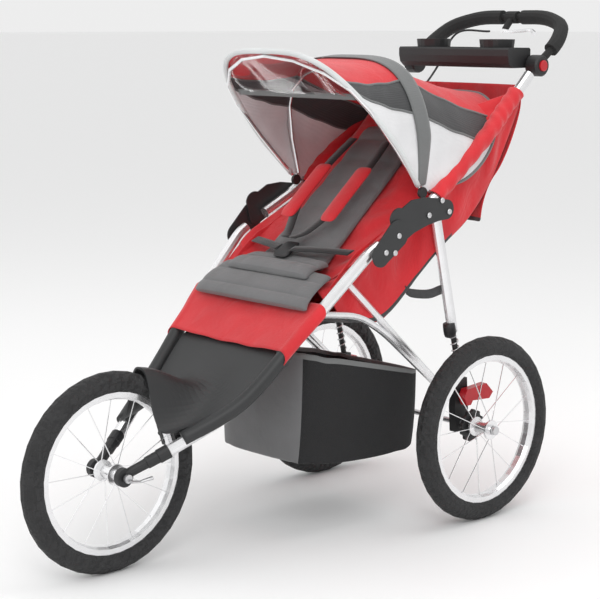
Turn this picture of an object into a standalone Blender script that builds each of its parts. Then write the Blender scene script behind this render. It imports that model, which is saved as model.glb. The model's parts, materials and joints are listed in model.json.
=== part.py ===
"""A three-wheeled jogging stroller with a suspended rear axle and a folding frame.

Metres, +Z up, the stroller faces -Y and its left side is +X. Places are given as
(x, back, up), where back is measured rearward from the rear axle.
"""
import math

import bmesh
import bpy
from mathutils import Vector

# Driving dimensions
WHEEL_RADIUS = 0.200
WHEELBASE = 0.806
TRACK = 0.509
ORIGIN_BACK = 0.3095
TYRE_TUBE = 0.0225
FRAME_TUBE = 0.0125
SMALL_TUBE = 0.008
SEGMENTS = 36
SPOKES = 16
FORK_LENGTH = 0.0945

# Joint places, (back, up)
FRONT_AXLE = (-WHEELBASE, WHEEL_RADIUS)
REAR_AXLE = (0.0, WHEEL_RADIUS)
MAIN_HINGE = (-0.235, 0.637)
LEG_PIVOT = (-0.088, 0.675)
LINK_PIVOT = (-0.380, 0.480)
HANDLE_PIVOT = (0.235, 0.971)
CANOPY_PIVOT = (-0.138, 0.716)
RECLINE_PIVOT = (-0.315, 0.545)
PEDAL_PIVOT = (-0.006, 0.268)

# Layers across the stroller
BASKET_HALF = 0.150
LINK_X = 0.1625
LEG_X = 0.1825
HINGE_X = 0.2075
PLATE_IN = 0.2225
SIDES = (("left", 1), ("right", -1))

COLOURS = {
    "silver": ((0.80, 0.80, 0.81), 0.28, 1.0),
    "black": ((0.020, 0.020, 0.022), 0.50, 0.0),
    "charcoal": ((0.060, 0.063, 0.065), 0.60, 0.0),
    "tyre": ((0.028, 0.028, 0.028), 0.85, 0.0),
    "red": ((0.72, 0.030, 0.040), 0.75, 0.0),
    "red_plastic": ((0.50, 0.012, 0.020), 0.35, 0.0),
    "grey": ((0.16, 0.16, 0.165), 0.85, 0.0),
    "mesh": ((0.012, 0.012, 0.013), 0.90, 0.0),
}


def at(x, back, up):
    """A place in the world from its (x, back, up)."""
    return Vector((x, ORIGIN_BACK + back, up))


def clear_scene():
    for obj in list(bpy.data.objects):
        bpy.data.objects.remove(obj)


def material(name, kind):
    colour, roughness, metallic = COLOURS[kind]
    mat = bpy.data.materials.new(name)
    mat.use_nodes = True
    shader = mat.node_tree.nodes["Principled BSDF"]
    shader.inputs["Base Color"].default_value = (*colour, 1)
    shader.inputs["Roughness"].default_value = roughness
    shader.inputs["Metallic"].default_value = metallic
    mat.diffuse_color = (*colour, 1)
    return mat


def new_object(name, bm, kind, smooth=True, pivot=None):
    """Links the bmesh's object, with its origin at the (back, up) of its joint."""
    bmesh.ops.recalc_face_normals(bm, faces=bm.faces)
    mesh = bpy.data.meshes.new(name)
    origin = at(0, *pivot) if pivot else Vector()
    bmesh.ops.translate(bm, verts=bm.verts, vec=-origin)
    bm.to_mesh(mesh)
    bm.free()
    if smooth:
        mesh.shade_smooth()
        mesh.set_sharp_from_angle(angle=math.radians(40))
    mesh.materials.append(material(name, kind))
    obj = bpy.data.objects.new(name, mesh)
    obj.location = origin
    bpy.context.scene.collection.objects.link(obj)
    return obj


def add_rings(bm, rings, closed=False):
    """Skins the rings of points in order, and caps the ends of an open run."""
    loops = [[bm.verts.new(point) for point in ring] for ring in rings]
    count = len(loops[0])
    pairs = list(zip(loops, loops[1:]))
    if closed:
        pairs.append((loops[-1], loops[0]))
    for first, second in pairs:
        for i in range(count):
            j = (i + 1) % count
            bm.faces.new((first[i], first[j], second[j], second[i]))
    if not closed:
        bm.faces.new(loops[0][::-1])
        bm.faces.new(loops[-1])


def smooth_path(points, radius, steps=4):
    """The polyline with each inner corner rounded, as a quadratic curve."""
    path = [Vector(points[0])]
    for before, corner, after in zip(points, points[1:], points[2:]):
        corner = Vector(corner)
        back = Vector(before) - corner
        ahead = Vector(after) - corner
        reach = min(radius, 0.45 * back.length, 0.45 * ahead.length)
        start = corner + back.normalized() * reach
        end = corner + ahead.normalized() * reach
        for i in range(steps + 1):
            t = i / steps
            path.append(start * (1 - t) ** 2 + corner * 2 * t * (1 - t) + end * t * t)
    path.append(Vector(points[-1]))
    return path


def add_tube(bm, path, radius, sides=12, reference=(1, 0, 0), flatten=1.0):
    """A solid tube along the path. radius is one size, or one for each point."""
    path = [Vector(point) for point in path]
    reference = Vector(reference)
    rings = []
    for i, point in enumerate(path):
        ahead = path[min(i + 1, len(path) - 1)] - path[max(i - 1, 0)]
        across = (reference - ahead * reference.dot(ahead) / ahead.length_squared).normalized()
        up = ahead.cross(across).normalized()
        size = radius[i] if isinstance(radius, (list, tuple)) else radius
        ring = []
        for k in range(sides):
            turn = math.tau * (k + 0.5) / sides
            ring.append(point + across * size * math.cos(turn) + up * size * flatten * math.sin(turn))
        rings.append(ring)
    add_rings(bm, rings)


def tube(name, path, radius, kind, pivot=None, **shape):
    bm = bmesh.new()
    add_tube(bm, path, radius, **shape)
    return new_object(name, bm, kind, pivot=pivot)


def add_turned(bm, profile, centre, segments=SEGMENTS, closed=True):
    """Revolves (x, radius) points about the X line through centre, (back, up).

    The radii are those of the flats, so that a flat lies at the lowest point.
    """
    grow = 1 / math.cos(math.pi / segments)
    rings = []
    for k in range(segments):
        turn = math.tau * (k + 0.5) / segments
        rings.append([at(x, centre[0] + r * grow * math.sin(turn), centre[1] - r * grow * math.cos(turn))
                      for x, r in profile])
    if closed:
        add_rings(bm, rings, closed=True)
        return
    columns = [[ring[i] for ring in rings] for i in range(len(profile))]
    add_rings(bm, columns)


def turned(name, profile, centre, kind, pivot=None, segments=SEGMENTS, closed=True):
    bm = bmesh.new()
    add_turned(bm, profile, centre, segments, closed)
    return new_object(name, bm, kind, pivot=pivot)


def add_plate(bm, outline, x_from, x_to):
    """A flat plate across X from its (back, up) outline."""
    add_rings(bm, [[at(x, *point) for point in outline] for x in (x_from, x_to)])


def plate(name, outline, x_from, x_to, kind, pivot=None):
    bm = bmesh.new()
    add_plate(bm, outline, x_from, x_to)
    return new_object(name, bm, kind, smooth=False, pivot=pivot)


def helper(bm, name):
    """A hidden operand for a Boolean."""
    bmesh.ops.recalc_face_normals(bm, faces=bm.faces)
    mesh = bpy.data.meshes.new(name)
    bm.to_mesh(mesh)
    bm.free()
    mesh.shade_smooth()
    mesh.set_sharp_from_angle(angle=math.radians(40))
    obj = bpy.data.objects.new(name, mesh)
    bpy.context.scene.collection.objects.link(obj)
    obj.hide_render = True
    obj.display_type = "WIRE"
    return obj


def combine(obj, bm, operation="UNION"):
    """Joins the bmesh's shape to obj, or cuts it out, with an exact Boolean."""
    other = helper(bm, f"{obj.name}_{operation.lower()}_{len(obj.modifiers)}")
    modifier = obj.modifiers.new(other.name, "BOOLEAN")
    modifier.operation = operation
    modifier.solver = "EXACT"
    modifier.object = other


# Wheels

def tyre_profile(middle):
    """The tyre's section: a flat tread, a round casing and the bead on the rim."""
    centre = WHEEL_RADIUS - TYRE_TUBE
    turns = [30, 60, 90, 115, 135]
    side = [(TYRE_TUBE * math.sin(math.radians(a)), centre + TYRE_TUBE * math.cos(math.radians(a)))
            for a in turns]
    half = [(0.0055, WHEEL_RADIUS)] + side
    return [(middle + x, r) for x, r in half] + [(middle - x, r) for x, r in reversed(half)]


def rim_profile(middle):
    half = [(0.0135, 0.1613), (0.0135, 0.150), (0.006, 0.146)]
    return [(middle + x, r) for x, r in half] + [(middle - x, r) for x, r in reversed(half)]


def hub_profile(middle, half_length, bore):
    half = [(half_length, bore), (half_length, 0.0105), (0.024, 0.0110), (0.024, 0.0210),
            (0.0195, 0.0210), (0.0150, 0.0125)]
    return [(middle + x, r) for x, r in half] + [(middle - x, r) for x, r in reversed(half)]


def spoke_shapes(middle, centre):
    """The spokes as one mesh, leaning forward and back by turns."""
    bm = bmesh.new()
    for k in range(SPOKES):
        flange = 1 if k % 2 else -1
        lean = math.radians(15) * (1 if (k // 2) % 2 else -1)
        outer = math.tau * k / SPOKES + 0.05
        inner = outer + lean
        start = at(middle + flange * 0.0218, centre[0] + 0.0175 * math.sin(inner),
                   centre[1] + 0.0175 * math.cos(inner))
        end = at(middle, centre[0] + 0.1490 * math.sin(outer), centre[1] + 0.1490 * math.cos(outer))
        add_tube(bm, [start, end], 0.0011, sides=4)
    return bm


def wheel(name, middle, centre, half_length, bore):
    turned(name.replace("wheel", "tyre"), tyre_profile(middle), centre, "tyre", pivot=centre)
    obj = turned(name, rim_profile(middle), centre, "silver")
    hub = bmesh.new()
    add_turned(hub, hub_profile(middle, half_length, bore), centre, segments=18)
    combine(obj, spoke_shapes(middle, centre))
    combine(obj, hub)
    return obj


def brake_disc(name, middle):
    """A toothed disc that the parking brake's pin drops into."""
    bm = bmesh.new()
    teeth = 24
    rings = []
    for x in (middle - 0.0036, middle + 0.0036):
        ring = []
        for k in range(teeth * 2):
            turn = math.tau * (k + 0.5) / (teeth * 2)
            radius = 0.0355 if (k // 2) % 2 else 0.0315
            ring.append(at(x, radius * math.sin(turn), WHEEL_RADIUS - radius * math.cos(turn)))
        rings.append(ring)
    add_rings(bm, rings)
    obj = new_object(name, bm, "black", smooth=False)
    bore = bmesh.new()
    add_turned(bore, [(middle - 0.01, 0.0068), (middle + 0.01, 0.0068)], REAR_AXLE, 18, closed=False)
    combine(obj, bore, "DIFFERENCE")


def wheels():
    wheel("front_wheel", 0.0, FRONT_AXLE, 0.0370, 0.0052)
    for side, sign in SIDES:
        wheel(f"rear_wheel_{side}", sign * TRACK / 2, REAR_AXLE, 0.0290, 0.0068)
        brake_disc(f"brake_disc_{side}", sign * 0.2208)


# Front frame

def fork_line(sign):
    """Where the fork end's neck starts, and its direction."""
    return at(sign * 0.0462, -0.800, 0.205), Vector((sign * 0.4016, 0.807, 0.433))


def main_path(sign):
    start, ahead = fork_line(sign)
    points = [start + ahead * (FORK_LENGTH + 0.001), at(sign * 0.148, -0.600, 0.320),
              at(sign * 0.182, -0.450, 0.468), at(sign * 0.205, -0.300, 0.605),
              at(sign * HINGE_X, -0.277, 0.6175)]
    return smooth_path(points, 0.06)


def front_tubes():
    for side, sign in SIDES:
        tube(f"main_tube_{side}", main_path(sign), FRAME_TUBE, "silver")
        fork_end(side, sign)
    bm = bmesh.new()
    profile = [(-0.0650, 0.0090), (-0.0590, 0.0090), (-0.0590, 0.0048), (0.0570, 0.0048),
               (0.0570, 0.0085), (0.0640, 0.0085)]
    add_turned(bm, profile, FRONT_AXLE, 16, closed=False)
    new_object("front_axle", bm, "silver")


def fork_end(side, sign):
    """A moulded end: boss round the axle, neck and the collar over the frame tube."""
    hub, ahead = fork_line(sign)
    reach = [0.0, 0.012, 0.030, 0.044, 0.046, 0.070, 0.071, FORK_LENGTH]
    sizes = [0.0090, 0.0100, 0.0100, 0.0105, 0.0122, 0.0125, 0.0142, 0.0142]
    obj = tube(f"fork_end_{side}", [hub + ahead * s for s in reach], sizes, "black", sides=14)
    boss = bmesh.new()
    add_turned(boss, [(sign * 0.0395, 0.0185), (sign * 0.0525, 0.0185)], FRONT_AXLE, 20, closed=False)
    combine(obj, boss)
    bore = bmesh.new()
    add_turned(bore, [(sign * 0.030, 0.0052), (sign * 0.060, 0.0052)], FRONT_AXLE, 16, closed=False)
    combine(obj, bore, "DIFFERENCE")


def quick_release():
    bm = bmesh.new()
    path = [at(0.0700, -0.806, 0.196), at(0.0720, -0.785, 0.193), at(0.0740, -0.758, 0.196)]
    add_tube(bm, path, [0.0050, 0.0040, 0.0060], sides=10, flatten=0.6)
    new_object("quick_release_lever", bm, "silver", pivot=FRONT_AXLE)


def footrest():
    """A moulded floor with a hump over the tyre, running back to the leg panel."""
    rows = [(-0.730, 0.400, 0.398, 0.318, 0.284, 0.280, 0.076),
            (-0.690, 0.394, 0.390, 0.312, 0.284, 0.284, 0.090),
            (-0.640, 0.366, 0.360, 0.312, 0.300, 0.302, 0.111),
            (-0.585, 0.350, 0.347, 0.340, 0.338, 0.338, 0.133),
            (-0.540, 0.382, 0.382, 0.381, 0.381, 0.382, 0.143),
            (-0.494, 0.425, 0.425, 0.425, 0.425, 0.425, 0.153)]
    steps = (0.0, 0.30, 0.52, 0.80, 1.0)
    bm = bmesh.new()
    grid = []
    for back, *heights, half in rows:
        places = [(half * s, up) for s, up in zip(steps, heights)]
        line = [(-x, up) for x, up in reversed(places[1:])] + places
        grid.append([bm.verts.new(at(x, back, up)) for x, up in line])
    for first, second in zip(grid, grid[1:]):
        for i in range(len(first) - 1):
            bm.faces.new((first[i], first[i + 1], second[i + 1], second[i]))
    obj = new_object("footrest", bm, "charcoal")
    soften(obj, 2)
    shell = obj.modifiers.new("wall", "SOLIDIFY")
    shell.thickness = 0.004
    shell.offset = -1
    shell.use_even_offset = True


def soften(obj, levels):
    """Rounds a coarse surface."""
    round_off = obj.modifiers.new("round", "SUBSURF")
    round_off.levels = levels
    round_off.render_levels = levels


def front_brake():
    """The bridge between the fork tubes and the two arms with their pads."""
    path = [at(-0.1180, -0.626, 0.294), at(-0.060, -0.588, 0.275), at(0.060, -0.588, 0.275),
            at(0.1180, -0.626, 0.294)]
    tube("brake_bridge", smooth_path(path, 0.02), 0.006, "silver", sides=10, reference=(0, 0, 1))
    for side, sign in SIDES:
        pivot = (-0.6000, 0.2560)
        path = [at(sign * 0.034, -0.600, 0.262), at(sign * 0.038, -0.636, 0.256),
                at(sign * 0.0285, -0.660, 0.248)]
        obj = tube(f"brake_arm_{side}", path, 0.0055, "black", pivot=pivot, sides=8, reference=(0, 0, 1))
        pad = bmesh.new()
        outline = [pad_corner(0.1500, -0.022), pad_corner(0.1592, -0.022), pad_corner(0.1592, 0.022),
                   pad_corner(0.1500, 0.022)]
        add_plate(pad, outline, sign * 0.0168, sign * 0.0265)
        combine(obj, pad)


def pad_corner(radius, along):
    """A (back, up) place on the front rim's brake track, at a distance along the rim."""
    rise = math.radians(18)
    return (FRONT_AXLE[0] + radius * math.cos(rise) - along * math.sin(rise),
            FRONT_AXLE[1] + radius * math.sin(rise) + along * math.cos(rise))


def basket():
    """An open-topped bag hung between the lower links."""
    rim = [(-0.425, 0.405), (-0.240, 0.360), (-0.065, 0.312)]
    floor = [(-0.062, 0.160), (-0.120, 0.137), (-0.330, 0.137), (-0.415, 0.165)]
    outline = rim + floor
    obj = plate("basket", outline, -BASKET_HALF, BASKET_HALF, "mesh")
    inner = [(-0.421, 0.450), (-0.240, 0.420), (-0.069, 0.380)]
    inner += [(-0.066, 0.163), (-0.120, 0.141), (-0.330, 0.141), (-0.411, 0.168)]
    cut = bmesh.new()
    add_plate(cut, inner, -BASKET_HALF + 0.004, BASKET_HALF - 0.004)
    combine(obj, cut, "DIFFERENCE")


def seat():
    """The soft parts carried by the front frame."""
    panel = [(-0.484, 0.436), (-0.430, 0.500), (-0.427, 0.494), (-0.480, 0.432)]
    plate("leg_panel", panel, -0.160, 0.160, "red")
    pad = [(-0.424, 0.506), (-0.420, 0.518), (-0.365, 0.552), (-0.358, 0.543)]
    plate("leg_pad", pad, -0.152, 0.152, "grey")
    shell = [(-0.418, 0.499), (-0.352, 0.538), (-0.318, 0.512), (-0.290, 0.490), (-0.360, 0.475)]
    plate("seat_base", shell, -0.146, 0.146, "red")
    strap = [(-0.352, 0.553), (-0.342, 0.560), (-0.300, 0.600), (-0.305, 0.604), (-0.350, 0.566)]
    plate("crotch_buckle", strap, -0.020, 0.020, "black")


# Fold hinges and handle frame

def disc_outline(centre, radius, start, end, count):
    """Points on an arc, from one angle to the other, in degrees."""
    turns = [math.radians(start + (end - start) * i / (count - 1)) for i in range(count)]
    return [(centre[0] + radius * math.cos(t), centre[1] + radius * math.sin(t)) for t in turns]


def rivets(bm, places, x_from, x_to, sign):
    for place in places:
        add_turned(bm, [(sign * x_from, 0.0036), (sign * x_to, 0.0036)], place, 8, closed=False)


def hinges():
    cover = disc_outline((-0.290, 0.601), 0.024, 132, 318, 14)
    cover += disc_outline((-0.243, 0.640), 0.030, -42, 132, 14)
    arm = disc_outline((-0.235, 0.637), 0.018, 190, 300, 8)
    arm += [(-0.190, 0.640), (-0.150, 0.652), (-0.118, 0.658)]
    arm += disc_outline((-0.094, 0.680), 0.021, -80, 85, 10)
    arm += [(-0.125, 0.706), (-0.160, 0.710), (-0.200, 0.707)]
    arm += disc_outline((-0.236, 0.668), 0.026, 70, 170, 8)
    for side, sign in SIDES:
        obj = plate(f"hinge_cover_{side}", cover, sign * 0.2260, sign * 0.2285, "charcoal")
        pins = bmesh.new()
        places = [(-0.239, 0.637), (-0.276, 0.606), (-0.250, 0.603)]
        rivets(pins, places, 0.2275, 0.2298, sign)
        combine(obj, pins)
        obj = plate(f"hinge_plate_{side}", arm, sign * PLATE_IN, sign * 0.2256, "charcoal", pivot=MAIN_HINGE)
        pins = bmesh.new()
        rivets(pins, [(-0.149, 0.672), (-0.110, 0.700)], 0.2245, 0.2285, sign)
        rivets(pins, [LEG_PIVOT], 0.1932, 0.2285, sign)
        combine(obj, pins)


def handle_frame():
    for side, sign in SIDES:
        path = [at(sign * HINGE_X, -0.222, 0.646), at(sign * HINGE_X, -0.130, 0.690),
                at(sign * 0.2040, 0.060, 0.832), at(sign * 0.1890, 0.205, 0.951)]
        tube(f"handle_tube_{side}", smooth_path(path, 0.03), FRAME_TUBE, "silver", pivot=MAIN_HINGE)
        housing = [(sign * 0.1700, 0.0215), (sign * 0.1740, 0.0235), (sign * 0.1990, 0.0235),
                   (sign * 0.2030, 0.0200), (sign * 0.2030, 0.0125), (sign * 0.1985, 0.0125)]
        turned(f"handle_pivot_{side}", housing, HANDLE_PIVOT, "black", pivot=MAIN_HINGE, segments=24,
               closed=False)
        button = [(sign * 0.2015, 0.0120), (sign * 0.2064, 0.0120), (sign * 0.2080, 0.0100)]
        turned(f"pivot_button_{side}", button, HANDLE_PIVOT, "red_plastic", pivot=HANDLE_PIVOT,
               segments=18, closed=False)


def parent_tray():
    """A moulded tray with a cup holder at each end."""
    outline = [(0.160, 0.992), (0.164, 0.976), (0.176, 0.966), (0.228, 0.966), (0.236, 0.978),
               (0.236, 1.006), (0.232, 1.010), (0.163, 1.010), (0.160, 1.006)]
    obj = plate("parent_tray", outline, -0.166, 0.166, "black", pivot=MAIN_HINGE)
    for sign in (1, -1):
        cup = bmesh.new()
        add_cone(cup, at(sign * 0.096, 0.204, 0.972), 0.033, at(sign * 0.096, 0.204, 1.028), 0.040, 20)
        combine(obj, cup)
        hole = bmesh.new()
        add_cone(hole, at(sign * 0.096, 0.204, 0.976), 0.030, at(sign * 0.096, 0.204, 1.040), 0.037, 20)
        combine(obj, hole, "DIFFERENCE")
    trough = bmesh.new()
    add_plate(trough, [(0.167, 0.976), (0.231, 0.976), (0.231, 1.020), (0.167, 1.020)], -0.050, 0.050)
    combine(obj, trough, "DIFFERENCE")


def add_cone(bm, low, low_radius, high, high_radius, sides):
    add_tube(bm, [low, high], [low_radius, high_radius], sides=sides)


def handlebar():
    """The U-shaped bar, its foam, and the brake lever's clamp at the top."""
    tilt = math.radians(38)

    def place(x, reach):
        return at(x, HANDLE_PIVOT[0] + reach * math.cos(tilt), HANDLE_PIVOT[1] + reach * math.sin(tilt))

    normal = Vector((0, -math.sin(tilt), math.cos(tilt)))
    corners = [place(0.187, 0.0245), place(0.190, 0.080), place(0.168, 0.140), place(0.100, 0.172),
               place(-0.100, 0.172), place(-0.168, 0.140), place(-0.190, 0.080), place(-0.187, 0.0245)]
    path = smooth_path(corners, 0.04)
    obj = tube("handlebar", path, 0.0090, "black", pivot=HANDLE_PIVOT, sides=10, reference=normal)
    for sign in (1, -1):
        grown = [point for point in path if (point - at(point.x, *HANDLE_PIVOT)).length > 0.055]
        half = [point for point in grown if point.x * sign > 0.030]
        half = half + [place(sign * 0.030, 0.172)] if sign > 0 else [place(-0.030, 0.172)] + half
        foam = bmesh.new()
        add_tube(foam, half, 0.0165, sides=12, reference=normal)
        combine(obj, foam)
    clamp = bmesh.new()
    add_tube(clamp, [place(-0.016, 0.172), place(0.016, 0.172)], 0.0145, sides=12, reference=normal)
    combine(obj, clamp)
    body = bmesh.new()
    add_tube(body, [place(0.0, 0.160), place(0.0, 0.132) - normal * 0.004], 0.0075, sides=10)
    combine(obj, body)
    lever = [place(0.004, 0.1215), place(0.030, 0.118), place(0.085, 0.126), place(0.104, 0.112)]
    tube("brake_lever", smooth_path(lever, 0.02), [0.0055] + [0.0045] * 10 + [0.0050], "silver",
         pivot=HANDLE_PIVOT, sides=8, reference=normal)


# Canopy

def bow_path(root, half, reach, angle):
    """A hoop from one canopy hub to the other, in a plane tipped by angle."""
    tilt = math.radians(angle)

    def place(x, s):
        return at(x, CANOPY_PIVOT[0] + s * math.cos(tilt), CANOPY_PIVOT[1] + s * math.sin(tilt))

    side = [place(root, 0.016), place(half, reach * 0.35), place(half, reach * 0.62)]
    arc = []
    for i in range(9):
        turn = math.pi * i / 8
        arc.append(place(half * math.cos(turn), reach * (0.62 + 0.38 * math.sin(turn))))
    other = [point.copy() for point in reversed(side)]
    for point in other:
        point.x = -point.x
    return side[:2] + arc + other[1:]


def canopy():
    for name, root, half, reach, angle in (("canopy_rear_bow", 0.1860, 0.198, 0.268, 96),
                                           ("canopy_front_bow", 0.1955, 0.205, 0.386, 133)):
        tilt = math.radians(angle)
        normal = Vector((0, -math.sin(tilt), math.cos(tilt)))
        tube(name, bow_path(root, half, reach, angle), 0.0040, "silver", pivot=CANOPY_PIVOT, sides=8,
             reference=normal)
    for side, sign in SIDES:
        profile = [(sign * 0.1925, 0.0115), (sign * 0.1990, 0.0115)]
        turned(f"canopy_hub_{side}", profile, CANOPY_PIVOT, "charcoal", pivot=CANOPY_PIVOT,
               segments=16, closed=False)
    fabric_hoop("canopy_fabric_front", 131, 98)
    fabric_hoop("canopy_fabric_rear", 94, 40)


def fabric_hoop(name, front, rear):
    """A closed fabric shell between two hoop angles, open below and at both ends."""
    rings = []
    count = 13
    for angle in (front, rear):
        part = (angle - 40) / (133 - 40)
        half = 0.196 + 0.008 * part
        reach = 0.245 + 0.135 * part ** 1.5
        tilt = math.radians(angle)
        rings.append([(half, reach, tilt, math.pi * (i + 1.0) / (count + 1)) for i in range(count)])

    def point(half, reach, tilt, turn, inset):
        s = (reach - inset) * (0.62 + 0.38 * math.sin(turn))
        x = (half - inset) * math.cos(turn)
        return at(x, CANOPY_PIVOT[0] + s * math.cos(tilt), CANOPY_PIVOT[1] + s * math.sin(tilt))

    bm = bmesh.new()
    loops = []
    for inset, order in ((-0.009, 1), (-0.006, -1)):
        for ring in rings[::order]:
            loops.append([point(*place, inset) for place in ring])
    sections = [[loop[i] for loop in loops] for i in range(count)]
    add_rings(bm, sections)
    new_object(name, bm, "red", pivot=CANOPY_PIVOT)


def backrest():
    outline = [(-0.325, 0.575), (-0.050, 0.800), (-0.028, 0.775), (-0.300, 0.545)]
    plate("backrest", outline, -0.140, 0.140, "grey", pivot=RECLINE_PIVOT)
    outline = [(-0.150, 0.735), (0.150, 0.905), (0.180, 0.880), (0.125, 0.756), (0.070, 0.640),
               (-0.055, 0.610), (-0.195, 0.500), (-0.210, 0.600)]
    for side, sign in SIDES:
        plate(f"side_panel_{side}", outline, sign * 0.1495, sign * 0.1525, "red", pivot=MAIN_HINGE)


# Rear legs, links, axle and parking brake



def leg_place(x, up):
    """A place on the leg's line at a height."""
    return at(x, 0.0245 - 0.232 * (up - WHEEL_RADIUS), up)


def rear_legs():
    for side, sign in SIDES:
        x = sign * LEG_X
        path = [leg_place(x, 0.668), leg_place(x, 0.440), leg_place(x, 0.438), leg_place(x, 0.405)]
        obj = tube(f"rear_leg_{side}", path, [0.0100, 0.0100, 0.0100, 0.0100], "silver", pivot=LEG_PIVOT,
                   sides=14, flatten=1.3)
        bore = bmesh.new()
        add_tube(bore, [leg_place(x, 0.470), leg_place(x, 0.380)], 0.0068, sides=14)
        combine(obj, bore, "DIFFERENCE")
        carrier(side, sign)
        coil(side, sign)


def carrier(side, sign):
    """The bracket on the axle with the suspension rod standing in the leg."""
    outline = [(-0.018, 0.182), (0.018, 0.182), (0.022, 0.215), (0.016, 0.300), (-0.014, 0.300),
               (-0.022, 0.240)]
    obj = plate(f"axle_carrier_{side}", outline, sign * 0.1735, sign * 0.1915, "black")
    rod = bmesh.new()
    add_tube(rod, [leg_place(sign * LEG_X, 0.290), leg_place(sign * LEG_X, 0.440)], 0.0062, sides=12)
    combine(obj, rod)
    bore = bmesh.new()
    add_turned(bore, [(sign * 0.160, 0.0064), (sign * 0.210, 0.0064)], REAR_AXLE, 16, closed=False)
    combine(obj, bore, "DIFFERENCE")


def coil(side, sign):
    """The coil spring round the rod, between the bracket and the leg."""
    turns = 5
    low = leg_place(sign * LEG_X, 0.3085)
    high = leg_place(sign * LEG_X, 0.3980)
    ahead = high - low
    across = Vector((1, 0, 0))
    up = ahead.normalized().cross(across)
    path = []
    for i in range(turns * 8 + 1):
        turn = math.tau * i / 8
        path.append(low + ahead * i / (turns * 8) + (across * math.cos(turn) + up * math.sin(turn)) * 0.0084)
    tube(f"spring_{side}", path, 0.0015, "silver", pivot=REAR_AXLE, sides=5,
         reference=ahead.normalized())


def rear_axle():
    profile = [(-0.2920, 0.0095), (-0.2845, 0.0095), (-0.2845, 0.0060), (0.2845, 0.0060),
               (0.2845, 0.0095), (0.2920, 0.0095)]
    turned("rear_axle", profile, REAR_AXLE, "silver", segments=16, closed=False)


def parking_brakes():
    for side, sign in SIDES:
        outline = [(-0.016, 0.262), (-0.006, 0.279), (0.056, 0.284), (0.078, 0.262), (0.066, 0.249),
                   (0.012, 0.252), (0.006, 0.243), (-0.006, 0.243)]
        plate(f"parking_brake_{side}", outline, sign * 0.1955, sign * 0.2135, "red_plastic",
              pivot=PEDAL_PIVOT)


def lower_links():
    """On each side a straight stay and a curved rail, joined at their rear foot."""
    for side, sign in SIDES:
        x = sign * LINK_X
        stay = [at(x, -0.335, 0.553), at(x, -0.082, 0.322), at(x, -0.0405, 0.284)]
        obj = tube(f"lower_link_{side}", stay, SMALL_TUBE, "silver", pivot=LINK_PIVOT, sides=10)
        rail = [at(x, -0.392, 0.484), at(x, -0.290, 0.470), at(x, -0.218, 0.428), at(x, -0.060, 0.296)]
        other = bmesh.new()
        add_tube(other, smooth_path(rail, 0.06), SMALL_TUBE * 0.95, sides=10)
        combine(obj, other)


def cables():
    """The brake cable in two runs that meet behind the seat."""
    runs = {"brake_cable_upper": [at(-0.010, 0.300, 1.045), at(-0.090, 0.275, 1.040),
                                  at(-0.140, 0.262, 0.960), at(-0.120, 0.200, 0.920)]}
    for name, points in runs.items():
        curve = bpy.data.curves.new(name, "CURVE")
        curve.dimensions = "3D"
        spline = curve.splines.new("POLY")
        path = smooth_path(points, 0.04)
        spline.points.add(len(path) - 1)
        for place, point in zip(path, spline.points):
            point.co = (*place, 1)
        curve.bevel_depth = 0.0025
        curve.bevel_resolution = 2
        curve.use_fill_caps = True
        curve.materials.append(material(name, "black"))
        obj = bpy.data.objects.new(name, curve)
        bpy.context.scene.collection.objects.link(obj)


def main():
    clear_scene()
    wheels()
    front_tubes()
    quick_release()
    footrest()
    front_brake()
    basket()
    seat()
    hinges()
    handle_frame()
    parent_tray()
    handlebar()
    canopy()
    backrest()
    rear_legs()
    rear_axle()
    parking_brakes()
    lower_links()
    cables()


main()
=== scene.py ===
"""The looks of the jogging stroller: camera, studio, fabric pieces and materials."""
import json
import math

import bmesh
import bpy
import numpy as np
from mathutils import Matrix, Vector

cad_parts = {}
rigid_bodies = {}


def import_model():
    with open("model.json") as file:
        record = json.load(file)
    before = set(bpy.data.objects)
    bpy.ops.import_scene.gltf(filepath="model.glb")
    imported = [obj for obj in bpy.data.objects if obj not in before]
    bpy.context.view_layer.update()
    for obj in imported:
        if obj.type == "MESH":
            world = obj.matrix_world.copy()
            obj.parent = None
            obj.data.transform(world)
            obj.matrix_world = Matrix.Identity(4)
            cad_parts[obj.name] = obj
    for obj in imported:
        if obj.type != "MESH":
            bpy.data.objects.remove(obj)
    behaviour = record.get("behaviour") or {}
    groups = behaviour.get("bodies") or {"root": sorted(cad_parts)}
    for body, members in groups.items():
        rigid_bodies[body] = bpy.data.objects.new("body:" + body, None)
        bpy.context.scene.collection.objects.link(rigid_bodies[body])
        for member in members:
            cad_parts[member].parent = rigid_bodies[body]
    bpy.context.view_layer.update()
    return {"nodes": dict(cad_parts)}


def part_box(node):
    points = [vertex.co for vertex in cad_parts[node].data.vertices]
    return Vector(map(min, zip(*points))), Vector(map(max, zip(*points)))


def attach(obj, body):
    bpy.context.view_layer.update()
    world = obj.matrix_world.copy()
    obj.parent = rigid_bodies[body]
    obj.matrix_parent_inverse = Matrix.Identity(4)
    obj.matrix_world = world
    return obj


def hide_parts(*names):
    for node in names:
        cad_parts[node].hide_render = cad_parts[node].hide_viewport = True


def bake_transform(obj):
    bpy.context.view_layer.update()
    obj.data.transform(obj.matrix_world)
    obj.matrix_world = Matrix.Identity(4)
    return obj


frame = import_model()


# Places from the frame

def middle(node):
    low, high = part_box(node)
    return (Vector(low) + Vector(high)) / 2


BACK_0 = middle("rear_axle").y
PIVOT = middle("canopy_hub_left")


def at(x, back, up):
    """A place in the frame: back is measured rearward from the rear axle."""
    return Vector((x, BACK_0 + back, up))


# Materials

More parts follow.
